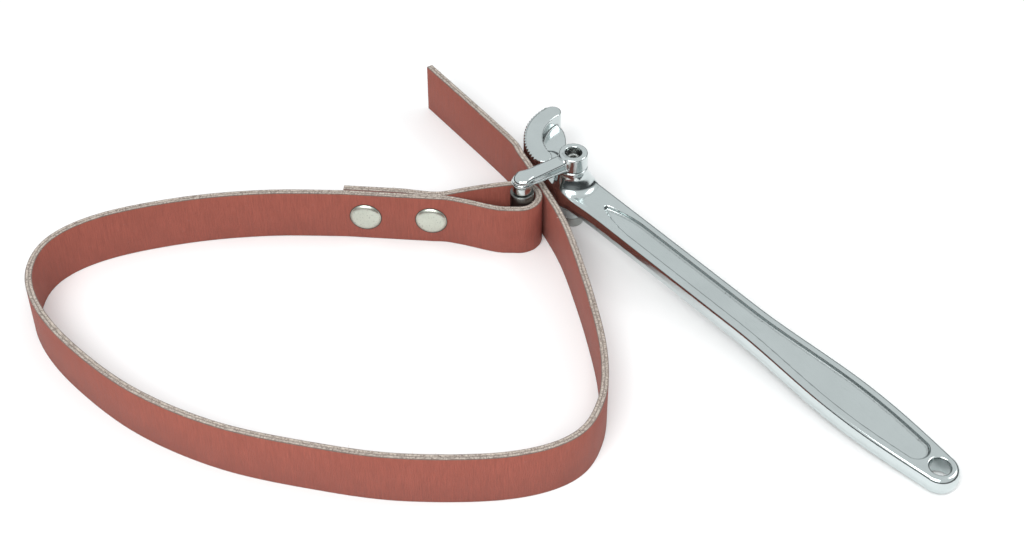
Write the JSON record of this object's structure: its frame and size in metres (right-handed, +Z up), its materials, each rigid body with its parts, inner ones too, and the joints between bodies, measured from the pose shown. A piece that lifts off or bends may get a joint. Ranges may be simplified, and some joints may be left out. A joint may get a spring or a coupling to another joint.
{
  "type": "oil filter strap wrench",
  "caption": "Strap wrench for oil filters: forged handle with a toothed cam jaw, a swinging link and roller, and a flat riveted strap that grips round a cylinder.",
  "frame": {"origin": "on the handle's pivot axis, at the flat underside of the pivot screw's head, which is table level", "axes": "+X runs along the handle from the pivot to the hang hole; +Z is up, along the pivot; the strap's loop lies towards -Y"},
  "size_m": [0.3394, 0.2518, 0.0392],
  "materials": {
    "chrome": "bright chrome plate over a die-forged, slightly uneven skin",
    "steel": "turned steel, lightly oiled",
    "belt": "two-ply rubberised canvas belting, reddish brown faces, grey-beige cut edges",
    "nickel": "dull nickel-plated rivets, lightly scuffed"
  },
  "bodies": {
    "handle": {"handle": "chrome"},
    "link": {"link": "chrome", "pivot_screw": "steel", "pivot_washer": "chrome", "roller_washer": "steel", "roller_clip": "steel"},
    "roller": {"roller": "steel"},
    "strap": {"strap": "belt", "rivet_1": "nickel", "rivet_2": "nickel", "rivet_cap_1": "nickel", "rivet_cap_2": "nickel"}
  },
  "joints": [
    {"name": "link_swing", "type": "hinge", "parent": "handle", "child": "link", "pos_m": [0, 0, 0.0187], "axis": [0, 0, 1], "range_deg": [-1, 17]},
    {"name": "roller_spin", "type": "hinge", "parent": "link", "child": "roller", "pos_m": [-0.00502, -0.02582, 0.0159], "axis": [0, 0, 1], "continuous": true},
    {"name": "strap_swing", "type": "hinge", "parent": "link", "child": "strap", "pos_m": [-0.00502, -0.02582, 0.0125], "axis": [0, 0, 1], "range_deg": [-1, 10]}
  ]
}
